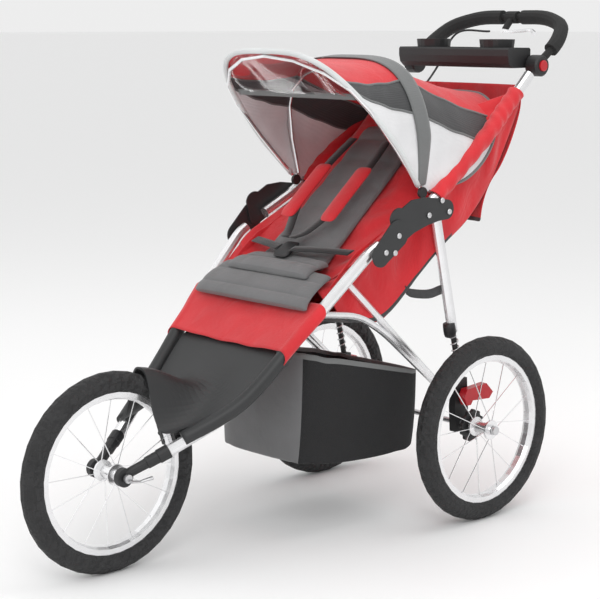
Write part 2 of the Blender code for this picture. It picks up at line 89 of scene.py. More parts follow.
def base(name, colour, roughness, metallic=0.0, sheen=0.0):
    """A plain material, with its nodes, links and shader."""
    mat = bpy.data.materials.new(name)
    mat.use_nodes = True
    nodes = mat.node_tree.nodes
    shader = nodes["Principled BSDF"]
    shader.inputs["Base Color"].default_value = (*colour, 1)
    shader.inputs["Roughness"].default_value = roughness
    shader.inputs["Metallic"].default_value = metallic
    shader.inputs["Sheen Weight"].default_value = sheen
    return mat, nodes, mat.node_tree.links, shader


def vary(nodes, links, shader, colour, scale, amount):
    """Breaks the colour up with soft noise."""
    where = nodes.new("ShaderNodeTexCoord")
    noise = nodes.new("ShaderNodeTexNoise")
    noise.inputs["Scale"].default_value = scale
    noise.inputs["Detail"].default_value = 5
    ramp = nodes.new("ShaderNodeValToRGB")
    ramp.color_ramp.elements[0].position = 0.3
    ramp.color_ramp.elements[1].position = 0.7
    ramp.color_ramp.elements[0].color = (*[c * (1 - amount) for c in colour], 1)
    ramp.color_ramp.elements[1].color = (*[min(1, c * (1 + amount)) for c in colour], 1)
    links.new(where.outputs["Object"], noise.inputs["Vector"])
    links.new(noise.outputs["Fac"], ramp.inputs["Fac"])
    links.new(ramp.outputs["Color"], shader.inputs["Base Color"])
    return where


def bump(nodes, links, shader, heights, distance, strength=1.0):
    """Adds up the (socket, weight) heights and bumps the surface with them."""
    total = None
    for socket, weight in heights:
        scaled = nodes.new("ShaderNodeMath")
        scaled.operation = "MULTIPLY"
        scaled.inputs[1].default_value = weight
        links.new(socket, scaled.inputs[0])
        if total is None:
            total = scaled
            continue
        add = nodes.new("ShaderNodeMath")
        add.operation = "ADD"
        links.new(total.outputs[0], add.inputs[0])
        links.new(scaled.outputs[0], add.inputs[1])
        total = add
    node = nodes.new("ShaderNodeBump")
    node.inputs["Distance"].default_value = distance
    node.inputs["Strength"].default_value = strength
    links.new(total.outputs[0], node.inputs["Height"])
    links.new(node.outputs["Normal"], shader.inputs["Normal"])


def fabric(name, colour, weave=900, crease=1.0, sheen=0.25, roughness=0.72):
    """Woven cloth: crossed threads, soft creases and a little colour variation."""
    mat, nodes, links, shader = base(name, colour, roughness, sheen=sheen)
    where = vary(nodes, links, shader, colour, 9, 0.10)
    heights = []
    for direction in ("X", "Z"):
        thread = nodes.new("ShaderNodeTexWave")
        thread.bands_direction = direction
        thread.inputs["Scale"].default_value = weave / 6
        thread.inputs["Distortion"].default_value = 1.5
        links.new(where.outputs["Object"], thread.inputs["Vector"])
        heights.append((thread.outputs["Fac"], 0.06))
    folds = nodes.new("ShaderNodeTexNoise")
    folds.inputs["Scale"].default_value = 16
    folds.inputs["Detail"].default_value = 3
    folds.inputs["Distortion"].default_value = 0.6
    links.new(where.outputs["Object"], folds.inputs["Vector"])
    heights.append((folds.outputs["Fac"], crease))
    bump(nodes, links, shader, heights, 0.004)
    return mat


def plastic(name, colour, roughness=0.5, grain=500, depth=0.25):
    """Moulded plastic with fine pores."""
    mat, nodes, links, shader = base(name, colour, roughness)
    where = vary(nodes, links, shader, colour, 20, 0.08)
    pores = nodes.new("ShaderNodeTexNoise")
    pores.inputs["Scale"].default_value = grain
    links.new(where.outputs["Object"], pores.inputs["Vector"])
    bump(nodes, links, shader, [(pores.outputs["Fac"], depth)], 0.0006)
    return mat


def metal(name, colour, roughness=0.26):
    """Polished tube with a faint grain."""
    mat, nodes, links, shader = base(name, colour, roughness, metallic=0.9)
    where = vary(nodes, links, shader, colour, 40, 0.03)
    brushed = nodes.new("ShaderNodeTexNoise")
    brushed.inputs["Scale"].default_value = 350
    links.new(where.outputs["Object"], brushed.inputs["Vector"])
    bump(nodes, links, shader, [(brushed.outputs["Fac"], 0.1)], 0.0003)
    return mat


def tread(name, colour):
    """Tyre rubber with blocky tread."""
    mat, nodes, links, shader = base(name, colour, 0.78)
    where = vary(nodes, links, shader, colour, 30, 0.15)
    blocks = nodes.new("ShaderNodeTexVoronoi")
    blocks.distance = "CHEBYCHEV"
    blocks.inputs["Scale"].default_value = 70
    links.new(where.outputs["Object"], blocks.inputs["Vector"])
    bump(nodes, links, shader, [(blocks.outputs["Distance"], 1.0)], 0.012)
    return mat


def clear(name):
    """Thin clear plastic."""
    mat, *_, shader = base(name, (0.97, 0.97, 0.98), 0.06)
    shader.inputs["Transmission Weight"].default_value = 0.97
    shader.inputs["IOR"].default_value = 1.12
    shader.inputs["Alpha"].default_value = 0.40
    return mat


def net(name, colour):
    """Fine net, as a cell pattern bumped into opaque cloth."""
    mat, nodes, links, shader = base(name, colour, 0.8)
    where = vary(nodes, links, shader, colour, 20, 0.1)
    cells = nodes.new("ShaderNodeTexVoronoi")
    cells.inputs["Scale"].default_value = 420
    links.new(where.outputs["Object"], cells.inputs["Vector"])
    bump(nodes, links, shader, [(cells.outputs["Distance"], 0.8)], 0.0015)
    return mat


RED = (0.64, 0.012, 0.020)
M = {
    "red": fabric("red_cloth", RED),
    "grey": fabric("grey_cloth", (0.145, 0.145, 0.148), crease=0.7),
    "band": fabric("charcoal_cloth", (0.040, 0.041, 0.043), crease=0.6),
    "tape": fabric("grey_binding", (0.15, 0.155, 0.155), crease=0.2),
    "pale": fabric("pale_mesh", (0.72, 0.72, 0.73), crease=0.4),
    "web": fabric("black_webbing", (0.012, 0.012, 0.013), weave=500, crease=0.1),
    "net": net("black_net", (0.010, 0.010, 0.011)),
    "piping": fabric("silver_piping", (0.68, 0.70, 0.70), crease=0.1, roughness=0.4),
    "window": clear("clear_window"),
    "silver": metal("silver_tube", (0.84, 0.84, 0.85)),
    "steel": metal("steel", (0.62, 0.62, 0.63), 0.3),
    "black": plastic("black_plastic", (0.016, 0.016, 0.017)),
    "charcoal": plastic("charcoal_plastic", (0.022, 0.023, 0.024), 0.48, 700, 0.5),
    "foam": plastic("foam_grip", (0.016, 0.016, 0.016), 0.85, 900, 1.2),
    "red_plastic": plastic("red_plastic", (0.48, 0.010, 0.018), 0.3),
    "tyre": tread("tyre_rubber", (0.026, 0.026, 0.027)),
    "floor": base("floor", (0.92, 0.92, 0.92), 0.8)[0],
}

SMOOTH_BELOW = 38
BLACK_PARTS = ("fork", "axle_carrier", "brake_disc", "parent", "handle_pivot", "brake_arm", "brake_cable")


def finish_of(node):
    """The material of a CAD node, from its name."""
    if node == "handlebar":
        return "foam"
    if "tyre" in node:
        return "tyre"
    if node.startswith(("parking", "pivot_button")):
        return "red_plastic"
    if node.startswith(("hinge", "footrest", "canopy_hub")):
        return "charcoal"
    if node.startswith(("spring", "front_axle", "rear_axle", "quick")):
        return "steel"
    if node.startswith(BLACK_PARTS):
        return "black"
    return "silver"


def dress_frame():
    """Gives each CAD node its material, and smooth shading between its sharp edges."""
    for name, node in frame["nodes"].items():
        node.data.materials.clear()
        node.data.materials.append(M[finish_of(name)])
        for face in node.data.polygons:
            face.material_index = 0
            face.use_smooth = True
        node.data.set_sharp_from_angle(angle=math.radians(SMOOTH_BELOW))


# Mesh helpers

SIDES = (("left", 1), ("right", -1))


def sheet(name, rows, cols, surface, mats, zone=None, thickness=0.0016, levels=1, closed=False):
    """A cloth grid: surface(u, v) gives the place, and zone(u, v) the material's number."""
    bm = bmesh.new()
    grid = [[bm.verts.new(surface(i / rows, j / cols)) for j in range(cols + (0 if closed else 1))]
            for i in range(rows + 1)]
    for i in range(rows):
        for j in range(cols):
            k = (j + 1) % len(grid[0])
            face = bm.faces.new((grid[i][j], grid[i + 1][j], grid[i + 1][k], grid[i][k]))
            face.smooth = True
            if zone:
                face.material_index = zone((i + 0.5) / rows, (j + 0.5) / cols)
    mesh = bpy.data.meshes.new(name)
    bm.to_mesh(mesh)
    bm.free()
    for mat in mats:
        mesh.materials.append(M[mat])
    obj = bpy.data.objects.new(name, mesh)
    bpy.context.scene.collection.objects.link(obj)
    if levels:
        smooth = obj.modifiers.new("smooth", "SUBSURF")
        smooth.levels = smooth.render_levels = levels
    if thickness:
        wall = obj.modifiers.new("cloth", "SOLIDIFY")
        wall.thickness = thickness
        wall.offset = 0
    return obj


def cap(obj, cols):
    """Closes both ends of a closed-round sheet."""
    bm = bmesh.new()
    bm.from_mesh(obj.data)
    bm.verts.ensure_lookup_table()
    count = len(bm.verts)
    bm.faces.new([bm.verts[j] for j in range(cols)])
    bm.faces.new([bm.verts[count - 1 - j] for j in range(cols)])
    bmesh.ops.recalc_face_normals(bm, faces=bm.faces)
    for face in bm.faces:
        face.smooth = True
    bm.to_mesh(obj.data)
    bm.free()


def set_blend(obj, share_of):
    """Works out how far each point would follow the second body, from its place; the shares are not kept."""
    shares = [max(0.0, min(1.0, share_of(vertex.co))) for vertex in obj.data.vertices]


def spline_at(points, t):
    """A Catmull-Rom curve through the points, at t from 0 to 1."""
    points = [Vector(p) for p in points]
    place = t * (len(points) - 1)
    i = min(int(place), len(points) - 2)
    s = place - i
    p1, p2 = points[i], points[i + 1]
    p0 = points[i - 1] if i else 2 * p1 - p2
    p3 = points[i + 2] if i + 2 < len(points) else 2 * p2 - p1
    return 0.5 * (2 * p1 + (p2 - p0) * s + (2 * p0 - 5 * p1 + 4 * p2 - p3) * s * s
                  + (3 * p1 - 3 * p2 + p3 - p0) * s ** 3)


def ribbon(name, points, width, side, mat, thickness=0.0022, steps=24):
    """A flat strap along the points, its width along side."""
    side = Vector(side).normalized()
    return sheet(name, steps, 2, lambda u, v: spline_at(points, u) + side * width * (v - 0.5), [mat],
                 thickness=thickness, levels=0)


def cord_tube(name, points, radius, mat, steps=40, sides=8, reference=(1, 0, 0)):
    """A round cord or piping through the points. No stretch of it runs along reference."""
    path = [spline_at(points, i / steps) for i in range(steps + 1)]
    reference = Vector(reference)

    def surface(u, v):
        i = round(u * steps)
        ahead = (path[min(i + 1, steps)] - path[max(i - 1, 0)]).normalized()
        across = ahead.cross(reference).normalized()
        up = ahead.cross(across)
        turn = math.tau * v
        return path[i] + (across * math.cos(turn) + up * math.sin(turn)) * radius

    obj = sheet(name, steps, sides, surface, [mat], thickness=0, levels=0, closed=True)
    cap(obj, sides)
    return obj


def plane_normal(angle):
    """The normal of a bow's plane."""
    return (0, -math.sin(math.radians(angle)), math.cos(math.radians(angle)))


# Canopy

# The angles of the two bows, in degrees from straight back
FRONT, MID = 132.5, 96.0
# How square the arches are: 1 is an ellipse, and less is squarer
SHAPE = 2 / 3.4
# The hem's angle at a distance from the pivot
HEM = [(0.0, 4.0), (0.108, 10.0), (0.236, 23.0), (0.300, 30.0), (0.345, 34.0), (0.40, 34.0)]
# Each line over the canopy: reach, half width, top of the pale side, top of the charcoal band
LINES = {"front": (0.3945, 0.213, 0.288, 0.318), "mid": (0.277, 0.212, 0.165, 0.235),
         "hem": (0.352, 0.214, 0.236, 0.292)}
PALE_END, BAND_END = 0.30, 0.45
# The columns of cloth in each half: up the pale side, the band and the top
PALE_COLS, BAND_COLS, TOP_COLS = 12, 6, 22
HEM_PLANE = 25
STEP_OUT = 0.0006


def hem_angle(s):
    """The hem's angle at a distance from the pivot."""
    for (s0, a0), (s1, a1) in zip(HEM, HEM[1:]):
        if s <= s1:
            return a0 + (a1 - a0) * (s - s0) / (s1 - s0)
    return HEM[-1][1]


def line_point(line, v, grow=0.0):
    """A place on a line over the canopy, v from 0 at the left pivot to 1 at the right one."""
    reach, half, pale, band = LINES[line]
    q = min(v, 1 - v) * 2
    stops = [0.4] + [math.degrees(math.asin((s / reach) ** (1 / SHAPE))) for s in (pale, band)] + [90]
    if q < PALE_END:
        phi = stops[0] + (stops[1] - stops[0]) * (q / PALE_END) ** 1.6
    elif q < BAND_END:
        phi = stops[1] + (stops[2] - stops[1]) * (q - PALE_END) / (BAND_END - PALE_END)
    else:
        phi = stops[2] + (90 - stops[2]) * (q - BAND_END) / (1 - BAND_END)
    turn = math.radians(phi)
    s = (reach + grow) * math.sin(turn) ** SHAPE
    x = (half + grow) * max(0.0, math.cos(turn)) ** SHAPE * (1 if v < 0.5 else -1)
    x *= 0.90 + 0.10 * min(1.0, s / 0.12)
    angle = {"front": FRONT, "mid": MID}.get(line) or hem_angle(s)
    tilt = math.radians(angle)
    return Vector((x, PIVOT.y + s * math.cos(tilt), PIVOT.z + s * math.sin(tilt)))


def canopy_cloth(line, u, v, grow=0.0):
    """A place between the middle bow and a line, with a slight sag between them."""
    place = line_point("mid", v, grow).lerp(line_point(line, v, grow), u)
    top = min(v, 1 - v) * 2
    dip = 4 * u * (1 - u) * (0.012 * top + 0.004)
    ripple = 0.0012 * math.sin(math.tau * 3 * u + 40 * v) * math.sin(math.pi * u)
    return place - Vector((place.x * 0.2, 0, 1)) * (dip + ripple)


def edge_v(q, side):
    """The v of a place q up one side."""
    return q / 2 if side > 0 else 1 - q / 2


def columns():
    """The column edges, which fall on the edges of the band."""
    half = [PALE_END * i / PALE_COLS for i in range(PALE_COLS)]
    half += [PALE_END + (BAND_END - PALE_END) * i / BAND_COLS for i in range(BAND_COLS)]
    half += [BAND_END + (1 - BAND_END) * i / TOP_COLS for i in range(TOP_COLS + 1)]
    left = [q / 2 for q in half]
    return left + [1 - v for v in reversed(left[:-1])]


def fan(name, line, rows):
    """The cloth between the middle bow and a line."""
    steps = columns()

    def surface(u, v):
        return canopy_cloth(line, u, steps[round(v * (len(steps) - 1))])

    def zone(u, v):
        column = min(v, 1 - v) * (len(steps) - 1)
        if column < PALE_COLS:
            return 2
        return 1 if column < PALE_COLS + BAND_COLS else 0

    obj = sheet(name, rows, len(steps) - 1, surface, ["red", "band", "pale"], zone, levels=1)
    fan_blend(obj, line)
    return obj


# The bodies on the two sides of each stretch of cloth
BODIES = {"hem": ("handle_frame", "canopy_rear"), "front": ("canopy_rear", "canopy_front")}


def fan_blend(obj, line):
    """Bakes the cloth in place and works out each point's share by its angle about the pivot between the two
    lines.
    """
    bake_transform(obj)

    def share(vertex_place):
        place = vertex_place - PIVOT
        angle = math.degrees(math.atan2(place.z, place.y))
        if line == "front":
            return (angle - MID) / (FRONT - MID)
        hem = hem_angle(place.yz.length)
        return (angle - hem) / (MID - hem)

    set_blend(obj, share)


def bow_tape(name, width):
    """The grey sleeve over the middle bow."""
    across = Vector((0, math.sin(math.radians(MID)), -math.cos(math.radians(MID))))

    def surface(u, v):
        centre = line_point("mid", v, 0.0030)
        rise = min(1.0, (centre - PIVOT).yz.length / 0.12)
        return centre + across * width * (u - 0.5) * (0.5 + 0.5 * rise)

    obj = sheet(name, 3, 80, surface, ["tape"], thickness=0.002, levels=1)
    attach(obj, "canopy_rear")


def canopy():
    """Both stretches of cloth, the middle sleeve, the edges, the seams and the window."""
    rear = fan("canopy_rear_cloth", "hem", 14)
    front = fan("canopy_front_cloth", "front", 10)
    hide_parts("canopy_fabric_rear")
    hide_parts("canopy_fabric_front")
    bow_tape("canopy_mid_sleeve", 0.040)
    lines = (("canopy_front_piping", "front", 0.0058, "piping", "canopy_front", 0.001),
             ("canopy_rear_binding", "hem", 0.0036, "tape", "handle_frame", 0.0))
    for name, line, radius, mat, body, grow in lines:
        points = [line_point(line, i / 96, grow) for i in range(97)]
        normal = plane_normal(FRONT if line == "front" else HEM_PLANE)
        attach(cord_tube(name, points, radius, mat, steps=120, reference=normal), body)
    seams()
    window()


def seams():
    """Grey tape over both edges of the charcoal band."""
    for side, sign in SIDES:
        for q, edge in ((PALE_END, "low"), (BAND_END, "high")):
            for line in BODIES:
                points = [canopy_cloth(line, i / 12, edge_v(q, sign), STEP_OUT) for i in range(13)]
                name = f"canopy_seam_{line}_{edge}_{side}"
                fan_blend(cord_tube(name, points, 0.0028, "tape", steps=24, sides=6), line)


def window():
    """The clear panel between the front bow and a straight tape below it."""
    first, inset = 0.150, -0.008
    low = line_point("front", first, inset)
    drop = Vector((0, 0.012, -0.006))

    def surface(u, v):
        top = line_point("front", first + (1 - 2 * first) * v, inset)
        share = (low.x - top.x) / (2 * low.x)
        chord = low.lerp(Vector((-low.x, low.y, low.z)), share) + drop
        slack = 0.006 * math.sin(math.pi * u) * math.sin(7 * math.pi * v)
        return top.lerp(chord, u) + Vector((0, slack, slack))

    obj = sheet("canopy_window", 10, 40, surface, ["window"], thickness=0)
    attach(obj, "canopy_front")
    ends = [Vector((x, low.y, low.z)) + drop for x in (low.x, 0, -low.x)]
    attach(ribbon("canopy_window_tape", ends, 0.013, (0, -0.4, 0.9), "tape"), "canopy_front")


# Seat

# Lines as (back, up), from front to rear
TUBE_LINE = [(-0.400, 0.513), (-0.300, 0.605), (-0.235, 0.640), (-0.130, 0.690), (-0.030, 0.762),
             (0.060, 0.832), (0.125, 0.884), (0.178, 0.925)]
BACK_LINE = [(-0.388, 0.548), (-0.330, 0.553), (-0.285, 0.590), (-0.215, 0.652), (-0.140, 0.716),
             (-0.065, 0.782), (-0.010, 0.832), (0.040, 0.880)]


def folds(u, v, size, waves=5.0, skew=2.0):
    """Soft uneven folds, for a shift along a sheet's normal."""
    return size * (math.sin(math.tau * (waves * u + skew * v)) * 0.6
                   + math.sin(math.tau * (waves * 1.7 * u - skew * 1.3 * v) + 1.1) * 0.4)


def along(points, t):
    """(back, up) on a line, at t from 0 to 1."""
    place = spline_at([Vector((0, b, u)) for b, u in points], t)
    return place.y, place.z


# The seat's cloth would stay on the tubes beyond the first distance from the middle, and recline within the
# second;
# the shares are worked out but not applied.
EDGE_FIXED, MIDDLE_FREE = 0.180, 0.125


def wings():
    """The red inside of the seat, from tube to tube: its floor, and the part that reclines."""
    def surface(u, v):
        back, up = along(BACK_LINE, u)
        tube_back, tube_up = along(TUBE_LINE, u)
        s = 2 * v - 1
        rise = max(0.0, (abs(s) - 0.62) / 0.38) ** 1.2
        x = 0.186 * math.copysign(min(1.0, abs(s) * 0.84 / 0.8), s) if abs(s) < 0.76 else \
            math.copysign(0.149 + (0.186 - 0.149) * (abs(s) - 0.76) / 0.24, s)
        wobble = folds(u, v, 0.005) * (1 - rise) * (1 if abs(s) > 0.45 else 0.2)
        return at(x, back + (tube_back - back) * rise + wobble * 0.6,
                  up - 0.004 + (tube_up - up) * rise - wobble)

    below = Vector((0, 0, 0.004))
    floor = sheet("seat_floor", 10, 44, lambda u, v: surface(0.22 * u, v) - below, ["red"])
    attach(floor, "front_frame")
    inside = sheet("seat_inside", 36, 44, lambda u, v: surface(0.12 + 0.88 * u, v), ["red"])
    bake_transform(inside)
    set_blend(inside, lambda place: (EDGE_FIXED - abs(place.x)) / (EDGE_FIXED - MIDDLE_FREE))


def quilted(name, line, widths, depth, body, channels, cad=None, mat="grey", lift=0.0):
    """A padded strip along a (back, up) line, with sewn channels across it."""
    def surface(u, v):
        back, up = along(line, u)
        ahead_back, ahead_up = along(line, min(1, u + 0.01))
        behind_back, behind_up = along(line, max(0, u - 0.01))
        normal = Vector((0, -(ahead_up - behind_up), ahead_back - behind_back)).normalized()
        half = widths[0] + (widths[1] - widths[0]) * u
        turn = math.tau * v
        s, top = math.cos(turn), math.sin(turn)
        x = half * math.copysign(abs(s) ** 0.45, s)
        end = min(1.0, min(u, 1 - u) / 0.06) ** 0.5
        puff = 0.45 + 0.55 * abs(math.sin(math.pi * channels * u)) ** 0.45
        rib = 0.78 + 0.22 * abs(math.sin(math.pi * (x / 0.052 + 0.5))) ** 0.4
        height = depth * math.copysign(abs(top) ** 0.6, top)
        height *= end * (puff * rib if top > 0 else 0.35)
        x *= 0.94 + 0.06 * end
        return at(x, back, up) + normal * (height + lift)

    obj = sheet(name, 64, 48, surface, [mat], thickness=0, closed=True)
    cap(obj, 48)
    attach(obj, body)
    if cad:
        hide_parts(*cad)
    return obj


def seat():
    """The soft parts from tube to tube, with their pads."""
    wings()
    quilted("back_pad", BACK_LINE[1:7], (0.098, 0.084), 0.016, "backrest", 7, cad=["backrest"], lift=0.006)
    quilted("seat_pad", [(-0.400, 0.549), (-0.375, 0.562), (-0.345, 0.566), (-0.322, 0.566)],
            (0.125, 0.110), 0.014, "front_frame", 2, cad=["seat_base", "crotch_buckle"], lift=0.004)
    quilted("leg_pad_quilt", [(-0.447, 0.498), (-0.438, 0.514), (-0.415, 0.532), (-0.385, 0.548),
                              (-0.360, 0.556)], (0.176, 0.160), 0.013, "front_frame", 3, cad=["leg_pad"])
    leg_panel()
    side_covers()
    tube_sleeves()
    back_cover()
    harness()


def leg_panel():
    """The red panel under the legs, with a sleeve round each frame tube."""
    line = [(-0.512, 0.412), (-0.470, 0.450), (-0.447, 0.472), (-0.420, 0.497)]

    def surface(u, v):
        back, up = along(line, u)
        tube_x = 0.1725 + 0.0185 * u
        s = 2 * v - 1
        side = math.copysign(1, s)
        if abs(s) < 0.8:
            x = side * (tube_x + 0.002) * abs(s) / 0.8
            sag = 0.006 * math.cos(math.pi * s / 1.6)
            return at(x, back + sag * 0.6, up + 0.0155 - sag + folds(u, v, 0.0012, 1, 4))
        turn = math.pi * 1.25 * (abs(s) - 0.8) / 0.2
        return at(side * (tube_x + 0.0165 * math.sin(turn)), back - 0.002,
                  up + 0.0160 * math.cos(turn) - 0.0002)

    obj = sheet("leg_panel_cloth", 12, 60, surface, ["red"])
    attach(obj, "front_frame")
    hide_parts("leg_panel")


SIDE_TOP = [(-0.372, 0.538), (-0.300, 0.600), (-0.235, 0.632), (-0.130, 0.688), (-0.030, 0.760),
            (0.060, 0.830), (0.125, 0.884), (0.182, 0.930)]
SIDE_LOW = [(-0.345, 0.478), (-0.300, 0.458), (-0.219, 0.457), (-0.138, 0.514), (-0.060, 0.590),
            (0.028, 0.649), (0.104, 0.735), (0.186, 0.879)]


def tube_sleeves():
    """The red cloth wrapped round each handle tube."""
    for side, sign in SIDES:
        points = [at(sign * 0.2068, -0.110, 0.705), at(sign * 0.2050, -0.030, 0.764),
                  at(sign * 0.2035, 0.060, 0.832), at(sign * 0.1975, 0.110, 0.873),
                  at(sign * 0.1925, 0.160, 0.914)]
        path = [spline_at(points, i / 60) for i in range(61)]

        def surface(u, v, path=path, sign=sign):
            i = round(u * 60)
            ahead = (path[min(i + 1, 60)] - path[max(i - 1, 0)]).normalized()
            across = ahead.cross(Vector((1, 0, 0))).normalized()
            up = ahead.cross(across)
            turn = math.tau * v
            inward = max(0.0, -math.cos(turn))
            radius = 0.0165 + 0.0012 * math.sin(9 * math.tau * u + 2 * turn) + 0.004 * inward ** 2
            return path[i] + (across * math.sin(turn) + up * -sign * math.cos(turn)) * radius

        obj = sheet(f"tube_sleeve_{side}", 60, 24, surface, ["red"], thickness=0.001, closed=True)
        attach(obj, "handle_frame")


def side_covers():
    """The red side panels, from the tube down to a charcoal hem."""
    for side, sign in SIDES:
        def surface(u, v, sign=sign):
            top_back, top_up = along(SIDE_TOP, u)
            low_back, low_up = along(SIDE_LOW, u)
            x = 0.1640 - 0.010 * math.sin(math.pi * v) if u < 0.46 else \
                0.1640 + 0.022 * min(1, (u - 0.46) / 0.1) * (1 - 0.4 * v)
            x += folds(u, v, 0.0045, 6, 0.5) * math.sin(math.pi * (0.12 + 0.88 * v))
            return at(sign * x, top_back + (low_back - top_back) * v, top_up + (low_up - top_up) * v)

        obj = sheet(f"side_cover_{side}", 64, 20, surface, ["red", "band"],
                    zone=lambda u, v: 1 if v > 0.93 and u < 0.62 else 0)
        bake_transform(obj)
        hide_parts(f"side_panel_{side}")


def back_cover():
    """The outside of the seat back, and the skirt that hangs below it."""
    line = [(0.182, 0.930), (0.186, 0.880), (0.160, 0.812), (0.128, 0.757), (0.100, 0.722),
            (0.083, 0.680), (0.074, 0.636)]

    def surface(u, v):
        back, up = along(line, u)
        s = 2 * v - 1
        half = 0.184 - 0.012 * u
        swell = 0.016 * math.cos(math.pi * s / 2)
        return at(half * s, back + swell + folds(v, u, 0.005, 4, 1.0) * (0.3 + u), up)

    obj = sheet("back_cover", 30, 40, surface, ["red", "band"], zone=lambda u, v: 1 if u > 0.95 else 0)
    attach(obj, "handle_frame")
    low = [(-0.400, 0.492), (-0.345, 0.474), (-0.290, 0.455), (-0.219, 0.455), (-0.138, 0.512),
           (-0.060, 0.588), (0.028, 0.648), (0.095, 0.720)]

    def under(u, v):
        back, up = along(low, u)
        s = 2 * v - 1
        return at(0.160 * s, back, up - 0.010 * math.cos(math.pi * s / 2) + folds(u, v, 0.003, 4, 1))

    sling = sheet("seat_sling", 36, 24, under, ["red", "band"], zone=lambda u, v: 1 if u < 0.30 else 0)
    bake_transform(sling)


def harness():
    """Shoulder straps with red pads, waist straps and their buckle."""
    for side, sign in SIDES:
        strap = [at(sign * 0.052, -0.085, 0.800), at(sign * 0.062, -0.150, 0.748),
                 at(sign * 0.062, -0.230, 0.680), at(sign * 0.030, -0.295, 0.622),
                 at(sign * 0.010, -0.325, 0.607)]
        strap = [p + Vector((0, -0.012, 0.014)) for p in strap]
        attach(ribbon(f"harness_strap_{side}", strap, 0.024, (1, 0, 0), "web"), "backrest")
        line = [(-0.275, 0.640), (-0.235, 0.676), (-0.195, 0.711), (-0.155, 0.746)]

        def surface(u, v, sign=sign):
            back, up = along(line, u)
            turn = math.tau * v
            end = min(1.0, min(u, 1 - u) / 0.08) ** 0.5
            return at(sign * 0.062 + 0.021 * math.cos(turn) * (0.8 + 0.2 * end),
                      back - 0.014 - 0.0085 * math.sin(turn) * end * 0.65,
                      up + 0.016 + 0.0085 * math.sin(turn) * end * 0.75)

        pad = sheet(f"shoulder_pad_{side}", 20, 16, surface, ["red"], thickness=0, closed=True)
        cap(pad, 16)
        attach(pad, "backrest")
        waist = [at(sign * 0.150, -0.300, 0.600), at(sign * 0.090, -0.325, 0.602),
                 at(sign * 0.020, -0.345, 0.600)]
        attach(ribbon(f"waist_strap_{side}", waist, 0.022, (0, 0.93, 0.36), "web"), "front_frame")

    def buckle(u, v):
        turn = math.tau * v
        end = min(1.0, min(u, 1 - u) / 0.2) ** 0.5
        c, s = math.cos(turn), math.sin(turn)
        return at(0.022 * math.copysign(abs(c) ** 0.5, c) * (0.7 + 0.3 * end), -0.365 + 0.045 * u + 0.004 * s,
                  0.585 + 0.022 * u + 0.008 * end * math.copysign(abs(s) ** 0.6, s))

    obj = sheet("harness_buckle", 12, 20, buckle, ["black"], thickness=0, closed=True)
    cap(obj, 20)
    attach(obj, "front_frame")


# Basket

# How far the front sags forward at its foot
FRONT_BULGE = 0.014
# The share of u that is wall, from the rim down
WALL = 0.72


def basket():
    """A bag with a grey front and net sides, open at the top."""
    low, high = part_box("basket")
    half = high[0]
    front, rear = low[1], high[1]
    middle_y = (front + rear) / 2

    def outline(v):
        """A rounded rectangle in plan, from the middle of the back, all the way round."""
        turn = math.tau * v
        c, s = math.cos(turn), math.sin(turn)
        return (math.copysign(abs(s) ** 0.34, s), -math.copysign(abs(c) ** 0.34, -c))

    def surface(u, v):
        a, b = outline(v)
        wall = min(1.0, u / WALL)
        floor = max(0.0, (u - WALL) / (1 - WALL))
        y = middle_y + b * (rear - front) / 2 * (0.99 - 0.03 * wall)
        x = a * (half * 0.985 - 0.010 * wall + 0.004 * math.sin(math.pi * wall))
        share = (y - front) / (rear - front)
        rim = 0.405 - 0.088 * (y - front) / (rear - front)
        bottom = 0.142 + 0.030 * (1 - share) ** 2 + 0.012 * share ** 3
        z = rim + (bottom - rim) * (1 - (1 - wall) ** 1.25)
        y -= FRONT_BULGE * wall * max(0.0, -b) ** 2
        y = middle_y + (y - middle_y) * (1 - floor * 0.98)
        x *= 1 - floor * 0.98
        z -= 0.006 * math.sin(math.pi * floor / 2)
        return Vector((x, y, z + folds(v, u, 0.0015, 9, 0.3)))

    def zone(u, v):
        if u < 0.03:
            return 2
        return 0 if outline(v)[1] < -0.93 and u < 0.74 else 1

    obj = sheet("basket_cloth", 34, 96, surface, ["grey", "net", "tape"], zone, closed=True)
    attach(obj, "front_frame")
    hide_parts("basket")


# Details on the frame

def lathe(name, start, axis, profile, mat, body, sides=20):
    """A turned piece: profile holds (distance along the axis, radius) from start."""
    axis = Vector(axis).normalized()
    across = axis.orthogonal().normalized()
    up = axis.cross(across)

    def surface(u, v):
        along_it, radius = profile[round(u * (len(profile) - 1))]
        turn = math.tau * v
        return start + axis * along_it + (across * math.cos(turn) + up * math.sin(turn)) * radius

    obj = sheet(name, len(profile) - 1, sides, surface, [mat], thickness=0, levels=0, closed=True)
    cap(obj, sides)
    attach(obj, body)


# Turned profiles: (distance along the axis, radius)
DOME = [(0, 0.0062), (0.0008, 0.0062), (0.0020, 0.0052), (0.0029, 0.0032), (0.0032, 0.0010)]
COLLAR = [(0, 0.0100), (0.0010, 0.0128), (0.010, 0.0136), (0.024, 0.0136), (0.030, 0.0120),
          (0.0315, 0.0098)]
CABLE_RADIUS = 0.0025
COIL_RADIUS, COIL_WIRE, COIL_TURNS, TURN_STEPS = 0.0082, 0.0015, 6, 12
COVER_RIVETS = [(-0.239, 0.637), (-0.276, 0.606), (-0.250, 0.603)]
PLATE_RIVETS = [(-0.149, 0.672), (-0.110, 0.700), (-0.088, 0.675)]


